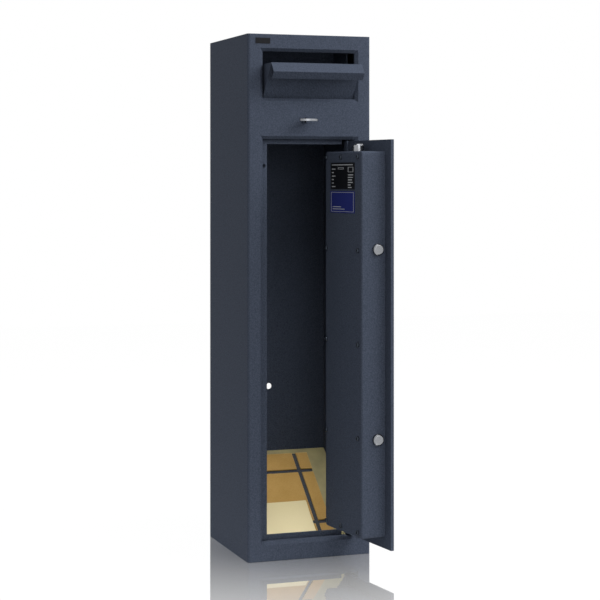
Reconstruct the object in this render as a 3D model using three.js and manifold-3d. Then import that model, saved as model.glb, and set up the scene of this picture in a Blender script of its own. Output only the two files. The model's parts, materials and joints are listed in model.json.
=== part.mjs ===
// Tall drop safe with a tilting deposit hopper above a long door.
// Millimetres, +Z up, origin at the middle of the underside, the front faces -Y.
// The door stands open with its bolts withdrawn and the hopper is tilted open.

import * as THREE from 'three';
import { mergeVertices } from 'three/addons/utils/BufferGeometryUtils.js';
import Module from 'manifold-3d';

// Overall size and sheet
const cabinetWidth = 298;
const cabinetDepth = 304;
const cabinetHeight = 1200;
const wall = 5;
const cornerRadius = 7;
const edgeBevel = 1.2;
const clearance = 0.3;
const overrun = 5;
const weldShare = 0.001;

// The two front openings, measured inside their chamfers
const stileWidth = 37;
const sillHeight = 44;
const bridgeHeight = 93.5;
const hopperOpeningHeight = 106.5;
const headHeight = 39;
const openingChamfer = 7;
const jambWall = 4;
const doorRecess = 22;
const hopperRecess = 12;

// Stop frame behind the door's margin; the withdrawn bolts swing past its edges
const stopThickness = 3;
const stopSideWidth = 15.7;
const stopBottomWidth = 13;
const stopTopWidth = 11.1;
const stopEndInset = 26;
const stopHoleRadius = 4;
const stopHoleDrop = 61;

// Anchor hole in the back
const anchorHoleRadius = 7.5;
const anchorHoleZ = 360;

// Door plate and its hinge
const doorOpenAngle = THREE.MathUtils.degToRad(96.6);
const plateSideGap = 3.5;
const plateThickness = 8;
const plateSetBack = 12;
const plateEndGap = 3;
const hingeEdge = 8;
const hingeInset = 2.5;
const hingePinRadius = 3;
const hingePinLength = 42;
const hingeCollarRadius = 6;
const hingeHeadHeight = 3;
const hingeBlockThickness = 12;
const hingeBlockHeight = 50;
const hingeBlockEdge = 1;
const pinFit = 0.3;

// Bolt box on the inside of the door
const boxDepth = 60;
const boxLockMargin = 24.3;
const boxHingeMargin = 14.5;
const boxEndMargin = 26;
const boxWall = 2.5;
const boxCorner = 7;
const boxFlangeWidth = 22;
const boxFlangeThickness = 2;
const coverThickness = 2;
const screwShankRadius = 2.3;
const screwHeadRadius = 5.2;
const screwHeadHeight = 3.6;
const screwHeadEdge = 1.4;
const screwLength = 9;
const screwSocketRadius = 2.6;
const screwSocketDepth = 2.2;
const screwEdgeHinge = 7;
const screwEdgeLock = 17.2;
const screwEdgeEnd = 12.5;
const screwMidOffset = 10;
const screwRows = 5;

// Blank plates
const labelThickness = 0.6;
const ratingWidthShare = 0.651;
const ratingHeight = 60;
const ratingTopDrop = 25;
const noticeWidthShare = 0.662;
const noticeHeight = 49;
const labelSpacing = 4.5;
const labelInsetShare = 0.185;
const badgeWidth = 35;
const badgeHeight = 13;
const badgeInset = 18;
const badgeDrop = 9;
const badgeThickness = 0.8;

// Bolt work, drawn withdrawn
const boltRadius = 13;
const boltChamfer = 3;
const sideBoltOffset = 20;
const topBoltOffset = 24;
const boltFit = 0.4;
const boltTravel = 14;
const sideBoltStand = 8.8;
const sideBoltShare = 0.2316;
const topBoltStand = 17.4;
const topBoltLength = 72;
const guideRingRadius = 17;
const guideRingLength = 6;
const barThickness = 8;
const barWidth = 20;
const barPlaceShare = 0.6784566;
const barOverlap = 28;
const rodRadius = 4.5;
const camRadius = 22;
const camThickness = 5;
const camSetBack = 8;
const camPinRadius = 2.5;
const camPinProud = 0.8;
const slotFit = 0.6;
const armThickness = 4.5;
const armTop = 18;
const armFoot = 0.8;
const armReach = 11.8;
const footThickness = 5;
const footReach = 18;
const footInset = 3;
const footRise = 34;
const footSlotDrop = 3.5;
const collarRadius = 9;
const collarHeight = 5;

// Handle on the door
const spindleRadius = 4.5;
const rosetteRadius = 24;
const rosetteThickness = 3;
const hubRadius = 10;
const handleReach = 28;
const handleBarHalfLength = 42;
const handleBarHalfWidth = 7;
const handleBarThickness = 12;
const handleBarEdge = 3;

// Door lock; its bolt stands between the two places of the rod's collar
const doorLockX = 30;
const doorLockRise = 97.5;
const lockCaseWall = 2;
const doorCaseLeft = 14;
const doorCaseRight = 62;
const doorCaseDrop = 34;
const doorCaseRise = 40;
const doorCaseDepth = 32;
const doorLockBoltLength = 42;
const lockBoltHeight = 7;
const lockBoltDepth = 9;
const lockBoltRise = 9;
const lockBoltGap = 1;
const escutcheonHalfWidth = 11;
const escutcheonHalfHeight = 21;
const escutcheonThickness = 2;

// Keys, measured from the face that they stand on
const keyShankRadius = 2.5;
const keyBitReach = 5.8;
const keyBitLength = 9;
const keyBitThickness = 3.2;
const keyBitDepth = 15;
const keyStandOff = 14;
const keyBowHalfWidth = 22;
const keyBowHalfLength = 11;
const keyBowThickness = 5;
const keyBowHoleRadius = 4;
const keyBowHoleShare = 0.6;
const keyHoleFit = 0.5;
const lockRosetteRadius = 8;
const lockRosetteThickness = 3;

// Hopper lock behind the front sheet
const hopperLockX = -12;
const hopperLockDrop = 50;
const hopperCaseLeft = -44;
const hopperCaseRight = 18;
const hopperCaseDrop = 24;
const hopperCaseRise = 24;
const hopperCaseDepth = 33;
const hopperLockBoltLength = 38;
const hopperLockBoltRise = 7.5;
const hopperLockBoltSetBack = 21;

// Tilting hopper, measured closed from its pivot
const hopperPivotSetBack = 20.5;
const hopperPivotRise = 7;
const hopperOpenAngle = THREE.MathUtils.degToRad(39.2);
const hopperSideGap = 3;
const hopperSheet = 2;
const hopperPanelOffset = 8.2;
const hopperTopGap = 3.3;
const hopperGripDepth = 27.2;
const hopperGripDrop = 3.8;
const hopperGripLip = 19.5;
const hopperFloorAngle = THREE.MathUtils.degToRad(-34);
const hopperFloorReach = 150;
const pivotRodRadius = 4;
const sidePlateInset = 0.6;
const catchThickness = 4;
const catchX = 20;
const catchFront = -6;
const catchBack = 5;
const catchOverlap = 6.5;

// Hopper housing
const cheekGap = 1.2;
const cheekThickness = 3;
const cheekDrop = 21.5;
const cheekShoulderRise = 23.5;
const cheekSetBack = 54;
const cheekTail = 4;
const cheekFlange = 15;
const baffleGap = 3.5;
const baffleThickness = 2;
const baffleStart = THREE.MathUtils.degToRad(3);
const baffleBend = THREE.MathUtils.degToRad(38);
const stopStudRadius = 3;
const stopStudReach = 8;
const stopStudShare = 0.777;

// Ramp on the cabinet floor
const rampSlope = 0.8;
const rampRunShare = 0.7895;
const rampSheet = 3;
const rampFootFlange = 30;
const rampBackFlange = 18;
const rampSideGap = 0.6;
const rampFootZ = 10;
const backingThickness = 1.2;
const boardThickness = 3;
const boardSideMargin = 51.5;
const grooveWidth = 10;
const grooveShare = 0.627;
const boardStartShare = 0.0537;
const firstGrooveShare = 0.2407;
const secondGrooveShare = 0.7628;
const boardEndShare = 0.9238;
const boardBevel = 1;
const padRightShare = 0.508;
const padStartShare = 0.5579;
const padThickness = 5;
const padBevel = 2;

// Places worked out from the sizes above
const frontY = -cabinetDepth / 2;
const backY = cabinetDepth / 2;
const halfWidth = cabinetWidth / 2;
const innerHalfWidth = halfWidth - wall;
const openingHalfWidth = halfWidth - stileWidth;
const hopperOpeningTop = cabinetHeight - headHeight;
const hopperOpeningBottom = hopperOpeningTop - hopperOpeningHeight;
const doorOpeningTop = hopperOpeningBottom - bridgeHeight;
const doorOpeningBottom = sillHeight;
const stopEndX = openingHalfWidth - stopEndInset;
const plateHalfWidth = openingHalfWidth - plateSideGap;
const plateFrontY = frontY + plateSetBack;
const plateBackY = plateFrontY + plateThickness;
const plateBottom = doorOpeningBottom + plateEndGap;
const plateTop = doorOpeningTop - plateEndGap;
const hingeX = plateHalfWidth - hingeEdge;
const hingeY = plateBackY - hingeInset;
const boxLeft = -plateHalfWidth + boxLockMargin;
const boxRight = plateHalfWidth - boxHingeMargin;
const boxBottom = plateBottom + boxEndMargin;
const boxTop = plateTop - boxEndMargin;
const boxBackY = plateBackY + boxDepth;
const boxFlangeBackY = boxBackY - coverThickness - clearance;
const doorMidZ = (plateBottom + plateTop) / 2;
const sideBoltSpread = (plateTop - plateBottom) * sideBoltShare;
// The bar stands at its share of the way from the box side to the cam disc
const barX = boxLeft - (camRadius + boxLeft) * barPlaceShare;
const sideBoltY = plateBackY + sideBoltOffset;
const topBoltY = plateBackY + topBoltOffset;
const camPinPlace = boltTravel / 2;
const camPinSwing = Math.hypot(camPinPlace, camPinPlace);
const camFrontY = plateBackY + camSetBack;
const camBackY = camFrontY + camThickness;
const armFrontY = camBackY + 2 * clearance;
const armBackY = armFrontY + armThickness;
const footFrontY = armBackY + 2 * clearance;
const footBackY = footFrontY + footThickness;
const slotHalf = camPinRadius + slotFit;
const doorLockZ = doorMidZ + doorLockRise;
const doorLockBoltFoot = doorLockZ + lockBoltRise;
const hopperPivotY = frontY + hopperPivotSetBack;
const hopperPivotZ = hopperOpeningBottom + hopperPivotRise;
const hopperHalfWidth = openingHalfWidth - hopperSideGap;
const hopperPanelHeight = hopperOpeningHeight - hopperPivotRise - hopperTopGap;
const hopperLockZ = hopperOpeningBottom - hopperLockDrop;
const baffleRadius = hopperFloorReach + baffleGap;
const rampAngle = Math.atan(rampSlope);
const rampBackY = backY - wall - clearance;
const rampTopZ = rampFootZ + rampSlope * rampRunShare * cabinetDepth;
const rampLength = rampRunShare * cabinetDepth / Math.cos(rampAngle);
const boardHalfWidth = innerHalfWidth - boardSideMargin;

const roundSides = 24;
const smallSides = 16;
const screwSides = 8;
const socketSides = 6;
const bendSteps = 5;

const wasm = await Module();
wasm.setup();

// Paint and metal as they look in the photograph
function finish(color, roughness, metalness) {
  return new THREE.MeshStandardMaterial({ color, roughness, metalness });
}

const paint = finish('#434a57', 0.62, 0.1);
const darkPaint = finish('#2b313c', 0.7, 0.1);
const brightSteel = finish('#b9bcc0', 0.25, 1);
const dullSteel = finish('#7c8188', 0.45, 0.9);
const zincPlate = finish('#6e663e', 0.6, 0.4);
const boardFinish = finish('#9f7f47', 0.75, 0);
const padFinish = finish('#d6ca9a', 0.85, 0);
const blackPlate = finish('#0c0e12', 0.4, 0);
const bluePlate = finish('#1d2560', 0.45, 0);

// Solids from three.js shapes
function solidOf(geometry) {
  geometry.deleteAttribute('normal');
  geometry.deleteAttribute('uv');
  const merged = mergeVertices(geometry, clearance * weldShare);
  return new wasm.Manifold(new wasm.Mesh({
    numProp: 3,
    vertProperties: new Float32Array(merged.attributes.position.array),
    triVerts: new Uint32Array(merged.index.array),
  }));
}

function block([x0, x1], [y0, y1], [z0, z1]) {
  const box = new THREE.BoxGeometry(x1 - x0, y1 - y0, z1 - z0);
  box.translate((x0 + x1) / 2, (y0 + y1) / 2, (z0 + z1) / 2);
  return solidOf(box);
}

function extruded(points, depth) {
  const outline = new THREE.Shape(points.map(([x, y]) => new THREE.Vector2(x, y)));
  return new THREE.ExtrudeGeometry(outline, { depth, bevelEnabled: false });
}

function prismAlongZ(points, [z0, z1]) {
  return solidOf(extruded(points, z1 - z0).translate(0, 0, z0));
}

// The outline is given as X and Z
function prismAlongY(points, [y0, y1]) {
  return solidOf(extruded(points, y1 - y0).rotateX(Math.PI / 2).translate(0, y1, 0));
}

// The outline is given as Y and Z
function prismAlongX(points, [x0, x1]) {
  const turn = new THREE.Matrix4().set(0, 0, 1, x0, 1, 0, 0, 0, 0, 1, 0, 0, 0, 0, 0, 1);
  return solidOf(extruded(points, x1 - x0).applyMatrix4(turn));
}

function rodAlongX(radius, [x0, x1], y, z, sides = roundSides) {
  const rod = new THREE.CylinderGeometry(radius, radius, x1 - x0, sides).rotateZ(Math.PI / 2);
  return solidOf(rod.translate((x0 + x1) / 2, y, z));
}

function rodAlongY(radius, x, [y0, y1], z, sides = roundSides) {
  const rod = new THREE.CylinderGeometry(radius, radius, y1 - y0, sides);
  return solidOf(rod.translate(x, (y0 + y1) / 2, z));
}

function rodAlongZ(radius, x, y, [z0, z1], sides = roundSides) {
  const rod = new THREE.CylinderGeometry(radius, radius, z1 - z0, sides).rotateX(Math.PI / 2);
  return solidOf(rod.translate(x, y, (z0 + z1) / 2));
}

// A turned profile of radius and height pairs, from its lower end to its upper end
function turned(profile, sides) {
  return new THREE.LatheGeometry(profile.map(([radius, height]) => new THREE.Vector2(radius, height)), sides);
}

function turnedAlongZ(profile, x, y, sides = roundSides) {
  return solidOf(turned(profile, sides).rotateX(Math.PI / 2).translate(x, y, 0));
}

function join(...solids) {
  return solids.reduce((whole, next) => whole.add(next));
}

function cut(body, ...tools) {
  return tools.reduce((rest, tool) => rest.subtract(tool), body);
}

function grown([low, high], by) {
  return [low - by, high + by];
}

function arcPoints(radius, from, to, steps) {
  return Array.from({ length: steps + 1 }, (_, step) => {
    const angle = from + (to - from) * step / steps;
    return [radius * Math.cos(angle), radius * Math.sin(angle)];
  });
}

// Corner points of a rectangle, its corners rounded in turn from the lower left
function roundedRectangle([x0, x1], [z0, z1], radii, steps = bendSteps) {
  const corners = [[x0, z0, 1, 1], [x1, z0, -1, 1], [x1, z1, -1, -1], [x0, z1, 1, -1]];
  return corners.flatMap(([x, z, sideX, sideZ], index) => {
    const radius = radii[index];
    const start = Math.PI + index * Math.PI / 2;
    if (radius === 0) return [[x, z]];
    return arcPoints(radius, start, start + Math.PI / 2, steps)
      .map(([u, v]) => [x + sideX * radius + u, z + sideZ * radius + v]);
  });
}

// Both faces of a bent sheet whose middle line is given, with mitred corners
function sheetOutline(path, thickness) {
  const direction = ([ax, ay], [bx, by]) => {
    const length = Math.hypot(bx - ax, by - ay);
    return [(bx - ax) / length, (by - ay) / length];
  };
  const last = path.length - 1;
  const face = (side) => path.map((point, index) => {
    const into = direction(path[Math.max(index, 1) - 1], path[Math.max(index, 1)]);
    const out = direction(path[Math.min(index, last - 1)], path[Math.min(index, last - 1) + 1]);
    const scale = side * thickness / (1 + into[0] * out[0] + into[1] * out[1]) / 2;
    return [point[0] - (into[1] + out[1]) * scale, point[1] + (into[0] + out[0]) * scale];
  });
  return [...face(1), ...face(-1).reverse()];
}

function meshOf(name, manifold, material) {
  const { vertProperties, triVerts } = manifold.getMesh();
  const geometry = new THREE.BufferGeometry();
  geometry.setAttribute('position', new THREE.BufferAttribute(new Float32Array(vertProperties), 3));
  geometry.setIndex(new THREE.BufferAttribute(new Uint32Array(triVerts), 1));
  const flat = geometry.toNonIndexed();
  flat.computeVertexNormals();
  const mesh = new THREE.Mesh(flat, material);
  mesh.name = name;
  return mesh;
}

// A group that turns about a line through x, y, z while its pieces keep cabinet coordinates
function turningGroup(x, y, z) {
  const outer = new THREE.Group();
  const inner = new THREE.Group();
  outer.position.set(x, y, z);
  inner.position.set(-x, -y, -z);
  outer.add(inner);
  return { outer, inner };
}

// Cabinet body: sides, roof, floor and front in bent sheet, with chamfered openings
function openingVoid([z0, z1], depth) {
  const inside = block([-openingHalfWidth, openingHalfWidth], [frontY, frontY + depth], [z0, z1]);
  const chamfer = new THREE.BoxGeometry(
    2 * (openingHalfWidth + openingChamfer),
    openingChamfer,
    z1 - z0 + 2 * openingChamfer,
  );
  const corner = chamfer.attributes.position;
  for (let index = 0; index < corner.count; index += 1) {
    if (corner.getY(index) > 0) {
      corner.setX(index, corner.getX(index) - Math.sign(corner.getX(index)) * openingChamfer);
      corner.setZ(index, corner.getZ(index) - Math.sign(corner.getZ(index)) * openingChamfer);
    }
  }
  chamfer.translate(0, frontY + openingChamfer / 2, (z0 + z1) / 2);
  return join(inside, solidOf(chamfer));
}

function jamb(span, depth) {
  const reach = openingHalfWidth + jambWall;
  return block([-reach, reach], [frontY + wall / 2, frontY + depth], grown(span, jambWall));
}

// Wedge that bevels the front sheet's top edge (side 1) or bottom edge (side -1)
function frontEdgeBevel(z, side) {
  const outline = [[frontY - overrun, z - side * edgeBevel], [frontY, z - side * edgeBevel],
    [frontY + edgeBevel, z], [frontY + edgeBevel, z + side * overrun], [frontY - overrun, z + side * overrun]];
  return prismAlongX(outline, grown([-halfWidth, halfWidth], overrun));
}

function cabinetBody() {
  const corners = [cornerRadius, cornerRadius, 0, 0];
  const outline = roundedRectangle([-halfWidth, halfWidth], [frontY, backY], corners);
  const hollow = block([-innerHalfWidth, innerHalfWidth], [frontY + wall, backY + overrun],
    [wall, cabinetHeight - wall]);
  const shell = cut(prismAlongZ(outline, [0, cabinetHeight]), hollow,
    frontEdgeBevel(cabinetHeight, 1), frontEdgeBevel(0, -1));
  const doorSpan = [doorOpeningBottom, doorOpeningTop];
  const hopperSpan = [hopperOpeningBottom, hopperOpeningTop];
  const doorDepth = doorRecess + stopThickness;
  const pinHoles = grown(doorSpan, jambWall / 2).map((z) =>
    rodAlongZ(hingePinRadius + pinFit, hingeX, hingeY, grown([z, z], overrun), smallSides));
  const lockHole = rodAlongY(lockRosetteRadius - clearance, hopperLockX,
    grown([frontY, frontY + wall], overrun), hopperLockZ, smallSides);
  return cut(join(shell, jamb(doorSpan, doorDepth), jamb(hopperSpan, hopperRecess)),
    openingVoid(doorSpan, doorDepth + overrun), openingVoid(hopperSpan, hopperRecess + overrun),
    ...pinHoles, lockHole);
}

function backPanel() {
  const panel = block([-innerHalfWidth + clearance, innerHalfWidth - clearance], [backY - wall, backY],
    [wall + clearance, cabinetHeight - wall - clearance]);
  return cut(panel, rodAlongY(anchorHoleRadius, 0, grown([backY - wall, backY], overrun), anchorHoleZ));
}

// Flat steel frame that the door's margin closes against, open on the hinge side
function doorStopFrame() {
  const left = -openingHalfWidth + clearance;
  const inner = -openingHalfWidth + stopSideWidth;
  const low = doorOpeningBottom + clearance;
  const high = doorOpeningTop - clearance;
  const foot = doorOpeningBottom + stopBottomWidth;
  const head = doorOpeningTop - stopTopWidth;
  const outline = [[left, low], [stopEndX, low], [stopEndX, foot], [inner, foot], [inner, head],
    [stopEndX, head], [stopEndX, high], [left, high]];
  const faces = [frontY + doorRecess, frontY + doorRecess + stopThickness];
  return cut(prismAlongY(outline, faces),
    rodAlongY(stopHoleRadius, (left + inner) / 2, grown(faces, overrun), doorOpeningTop - stopHoleDrop,
      smallSides));
}

// Pins that stand in the jamb, one with a head above, one with a collar that carries the door
function hingePinTop() {
  const foot = doorOpeningTop - hingePinLength;
  const head = doorOpeningTop + jambWall + clearance;
  const top = head + hingeHeadHeight;
  return turnedAlongZ([[0, foot], [hingePinRadius, foot], [hingePinRadius, head],
    [hingeCollarRadius, head], [hingeCollarRadius, top], [0, top]], hingeX, hingeY, smallSides);
}

function hingePinBottom() {
  const foot = doorOpeningBottom - jambWall;
  const collar = doorOpeningBottom + clearance;
  const seat = plateBottom - clearance;
  const top = doorOpeningBottom + hingePinLength;
  return turnedAlongZ([[0, foot], [hingePinRadius, foot], [hingePinRadius, collar],
    [hingeCollarRadius, collar], [hingeCollarRadius, seat], [hingePinRadius, seat],
    [hingePinRadius, top], [0, top]], hingeX, hingeY, smallSides);
}

// Hopper housing: two cheeks hung from the roof, the rod and the curved baffle
function hopperCheek(side) {
  const inner = hopperHalfWidth + cheekGap;
  const outer = inner + cheekThickness;
  const roof = cabinetHeight - wall - clearance;
  const front = frontY + hopperRecess + clearance;
  const upperFront = frontY + cheekSetBack;
  const back = hopperPivotY + baffleRadius + cheekTail;
  const foot = hopperPivotZ - cheekDrop;
  const shoulder = hopperPivotZ + cheekShoulderRise;
  const outline = [[front, foot], [back, foot], [back, roof], [upperFront, roof],
    [upperFront, shoulder], [front, shoulder]];
  const span = (from, to) => (side > 0 ? [from, to] : [-to, -from]);
  const [edgeY, edgeZ] = sidePlateTopFront();
  const studZ = hopperPivotZ + edgeY * Math.sin(hopperOpenAngle) + edgeZ * Math.cos(hopperOpenAngle)
    + stopStudRadius + 2 * clearance;
  const plate = prismAlongX(outline, span(inner, outer));
  const flange = block(span(outer - clearance, outer + cheekFlange), [upperFront, back],
    [roof - cheekThickness, roof]);
  const stud = rodAlongX(stopStudRadius, span(inner - stopStudReach, inner + cheekThickness / 2),
    hopperPivotY + hopperFloorReach * stopStudShare, studZ, smallSides);
  return cut(join(plate, flange, stud), rodAlongX(pivotRodRadius + pinFit,
    span(inner - overrun, outer + overrun), hopperPivotY, hopperPivotZ, smallSides));
}

function pivotRod() {
  const reach = hopperHalfWidth + cheekGap + 2 * cheekThickness;
  return rodAlongX(pivotRodRadius, [-reach, reach], hopperPivotY, hopperPivotZ, smallSides);
}

// Points about the hopper's pivot, moved to their place in the cabinet
function atPivot(points) {
  return points.map(([y, z]) => [hopperPivotY + y, hopperPivotZ + z]);
}

function curvedBaffle() {
  const roof = cabinetHeight - wall - clearance - hopperPivotZ;
  const path = atPivot([...arcPoints(baffleRadius, baffleStart, baffleBend, 2 * bendSteps),
    [baffleRadius * Math.cos(baffleBend), roof]]);
  const reach = hopperHalfWidth + cheekGap - clearance;
  return prismAlongX(sheetOutline(path, baffleThickness), [-reach, reach]);
}

// Height of the ramp plate's upper face above the floor line
function rampZ(y) {
  return rampTopZ - rampSlope * (rampBackY - y);
}

function rampPlate() {
  const reach = innerHalfWidth - rampSideGap;
  const half = rampSheet / 2;
  const drop = half / Math.cos(rampAngle);
  const lowZ = wall + clearance + half;
  const footY = rampBackY - (rampTopZ - rampFootZ) / rampSlope;
  const startY = footY - (rampFootZ - drop - lowZ) / rampSlope;
  const backLine = rampBackY - half;
  const backZ = rampZ(backLine) - drop;
  const path = [[startY + rampFootFlange, lowZ], [startY, lowZ], [backLine, backZ],
    [backLine, backZ - rampBackFlange]];
  return prismAlongX(sheetOutline(path, rampSheet), [-reach, reach]);
}

// A flat sheet on the ramp: X span, distances down the slope and heights above the plate
function slopedSheet([x0, x1], [s0, s1], [h0, h1], bevel) {
  const outline = bevel > 0
    ? [[-s1, h0], [-s0, h0], [-s0, h1 - bevel], [-s0 - bevel, h1], [-s1 + bevel, h1], [-s1, h1 - bevel]]
    : [[-s1, h0], [-s0, h0], [-s0, h1], [-s1, h1]];
  const tilted = outline.map(([s, h]) => [
    rampBackY + s * Math.cos(rampAngle) - h * Math.sin(rampAngle),
    rampTopZ + s * Math.sin(rampAngle) + h * Math.cos(rampAngle),
  ]);
  return prismAlongX(tilted, [x0, x1]);
}

const grooveX = boardHalfWidth * grooveShare;
const boardSpan = [rampLength * boardStartShare, rampLength * boardEndShare];
const [firstGroove, secondGroove] = [rampLength * firstGrooveShare, rampLength * secondGrooveShare];
const boardColumns = {
  left: [-boardHalfWidth, grooveX - grooveWidth / 2],
  right: [grooveX + grooveWidth / 2, boardHalfWidth],
};
const boardRows = {
  upper: [boardSpan[0], firstGroove - grooveWidth / 2],
  middle: [firstGroove + grooveWidth / 2, secondGroove - grooveWidth / 2],
  lower: [secondGroove + grooveWidth / 2, boardSpan[1]],
};

// Plain lock case with a keyhole in front and a window for its bolt on one side
function lockCase([x0, x1], [y0, y1], [z0, z1], key, window) {
  const inset = lockCaseWall;
  const hollow = block([x0 + inset, x1 - inset], [y0 + inset, y1 - inset], [z0 + inset, z1 - inset]);
  return cut(block([x0, x1], [y0, y1], [z0, z1]), hollow,
    keyHole(key.x, grown([y0, y0 + inset], overrun / 2), key.z), block(window.x, window.y, window.z));
}

// Round hole with room for the two bits, upright
function keyHole(x, span, z) {
  const half = keyBitThickness / 2 + keyHoleFit;
  const reach = keyBitReach + keyHoleFit;
  return join(rodAlongY(keyShankRadius + keyHoleFit, x, span, z, smallSides),
    block(grown([x, x], half), span, grown([z, z], reach)));
}

// Double-bit key with a pierced oval bow, lying level
function keySolid(x, faceY, z, depth) {
  const bowFront = faceY - keyStandOff;
  const tip = faceY + depth;
  const bitStart = tip - keyBitDepth;
  const shank = rodAlongY(keyShankRadius, x, [bowFront, tip], z, smallSides);
  const bits = block(grown([x, x], keyBitReach), [bitStart, bitStart + keyBitLength],
    grown([z, z], keyBitThickness / 2));
  const bowY = bowFront - keyBowHalfLength + keyShankRadius;
  const oval = arcPoints(1, 0, 2 * Math.PI, roundSides).slice(0, -1)
    .map(([u, v]) => [x + u * keyBowHalfWidth, bowY + v * keyBowHalfLength]);
  const bow = prismAlongZ(oval, grown([z, z], keyBowThickness / 2));
  const holes = [-1, 1].map((side) => rodAlongZ(keyBowHoleRadius,
    x + side * keyBowHalfWidth * keyBowHoleShare, bowY, grown([z, z], keyBowThickness), smallSides));
  return cut(join(shank, bits, bow), ...holes);
}

// Door plate, notched at both ends for the hinge blocks and bored for spindle and key
function doorPlate() {
  const through = grown([plateFrontY, plateBackY], overrun);
  const notch = [boxRight, plateHalfWidth + overrun];
  return cut(
    block([-plateHalfWidth, plateHalfWidth], [plateFrontY, plateBackY], [plateBottom, plateTop]),
    block(notch, through, [plateTop - hingeBlockHeight - clearance, plateTop + overrun]),
    block(notch, through, [plateBottom - overrun, plateBottom + hingeBlockHeight + clearance]),
    rodAlongY(spindleRadius + pinFit, 0, through, doorMidZ, smallSides),
    rodAlongY(keyBitReach + 2 * keyHoleFit, doorLockX, through, doorLockZ, smallSides),
  );
}

function hingeBlock(span) {
  const body = block([boxRight + clearance, plateHalfWidth - hingeBlockEdge],
    [plateFrontY, plateFrontY + hingeBlockThickness], span);
  return cut(body, rodAlongZ(hingePinRadius + pinFit, hingeX, hingeY, grown(span, overrun), smallSides));
}

// Bolt box: four walls with an inner flange that the cover is screwed to, and guide rings
function boxOutline(inset) {
  const radius = Math.max(boxCorner - inset, boxWall);
  return roundedRectangle([boxLeft + inset, boxRight - inset], [boxBottom + inset, boxTop - inset],
    [radius, radius, radius, radius], bendSteps - 1);
}

function screwPlaces() {
  const middle = (boxLeft + boxRight) / 2 + screwMidOffset;
  const sides = [boxRight - screwEdgeHinge, boxLeft + screwEdgeLock];
  const ends = [boxTop - screwEdgeEnd, boxBottom + screwEdgeEnd];
  const rows = Array.from({ length: screwRows }, (_, row) =>
    THREE.MathUtils.lerp(ends[0], ends[1], row / (screwRows - 1)));
  return rows.flatMap((z, row) => {
    const columns = row % (screwRows - 1) === 0 ? [...sides, middle] : sides;
    return columns.map((x) => [x, z]);
  });
}

const sideBoltHeights = [doorMidZ + sideBoltSpread, doorMidZ - sideBoltSpread];

function boltBox() {
  const start = plateBackY + clearance;
  const walls = cut(prismAlongY(boxOutline(0), [start, boxFlangeBackY]),
    prismAlongY(boxOutline(boxWall), [start - overrun, boxFlangeBackY - boxFlangeThickness]),
    prismAlongY(boxOutline(boxFlangeWidth), [start, boxFlangeBackY + overrun]));
  const ringEnd = boxLeft + boxWall + guideRingLength;
  const ringFoot = boxTop - boxWall - guideRingLength;
  const rings = sideBoltHeights.map((z) =>
    rodAlongX(guideRingRadius, [boxLeft + boxWall / 2, ringEnd], sideBoltY, z));
  const topRing = rodAlongZ(guideRingRadius, 0, topBoltY, [ringFoot, boxTop - boxWall / 2]);
  const boltHoles = sideBoltHeights.map((z) =>
    rodAlongX(boltRadius + boltFit, grown([boxLeft, ringEnd], overrun), sideBoltY, z));
  const topHole = rodAlongZ(boltRadius + boltFit, 0, topBoltY, grown([ringFoot, boxTop], overrun));
  const flange = grown([boxFlangeBackY - boxFlangeThickness, boxFlangeBackY], overrun / 2);
  const screwHoles = screwPlaces().map(([x, z]) =>
    rodAlongY(screwShankRadius + pinFit, x, flange, z, screwSides));
  return cut(join(walls, ...rings, topRing), ...boltHoles, topHole, ...screwHoles);
}

function boltBoxCover() {
  const faces = [boxBackY - coverThickness, boxBackY];
  const holes = screwPlaces().map(([x, z]) =>
    rodAlongY(screwShankRadius + pinFit, x, grown(faces, overrun), z, screwSides));
  return cut(prismAlongY(boxOutline(0), faces), ...holes);
}

// Button head screw with a hexagonal socket
function coverScrew(x, z) {
  const under = boxBackY + clearance;
  const top = under + screwHeadHeight;
  const shank = rodAlongY(screwShankRadius, x, [under - screwLength, under + clearance], z, screwSides);
  const head = turned([[0, under], [screwHeadRadius, under], [screwHeadRadius, top - screwHeadEdge],
    [screwHeadRadius - screwHeadEdge, top], [0, top]], smallSides).translate(x, 0, z);
  const socket = rodAlongY(screwSocketRadius, x, [top - screwSocketDepth, top + overrun], z, socketSides);
  return cut(join(shank, solidOf(head)), socket);
}

function coverLabel(widthShare, height, top) {
  const boxWidth = boxRight - boxLeft;
  const left = boxLeft + boxWidth * labelInsetShare;
  const face = boxBackY + clearance;
  return block([left, left + boxWidth * widthShare], [face, face + labelThickness], [top - height, top]);
}

// Sliding parts of the bolt work
function boltBar() {
  const [upper, lower] = sideBoltHeights;
  const bar = block([barX, barX + barThickness], grown([sideBoltY, sideBoltY], barWidth / 2),
    [lower - barOverlap, upper + barOverlap]);
  const arm = block([barX + barThickness / 2, armReach], [armFrontY, armBackY],
    [doorMidZ + armFoot, doorMidZ + armTop]);
  const slot = block(grown([camPinPlace, camPinPlace], slotHalf), grown([armFrontY, armBackY], overrun),
    grown([doorMidZ + camPinPlace, doorMidZ + camPinSwing], slotHalf));
  return cut(join(bar, arm), slot);
}

function boltProfile(length) {
  return [[0, 0], [boltRadius, 0], [boltRadius, length - boltChamfer],
    [boltRadius - boltChamfer, length], [0, length]];
}

function sideBolt(z) {
  const start = barX - clearance;
  const bolt = turned(boltProfile(start - boxLeft + sideBoltStand), roundSides).rotateZ(Math.PI / 2);
  return solidOf(bolt.translate(start, sideBoltY, z));
}

const topBoltFoot = boxTop + topBoltStand - topBoltLength;

function topBolt() {
  const profile = boltProfile(topBoltLength).map(([radius, height]) => [radius, topBoltFoot + height]);
  return turnedAlongZ(profile, 0, topBoltY);
}

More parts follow.
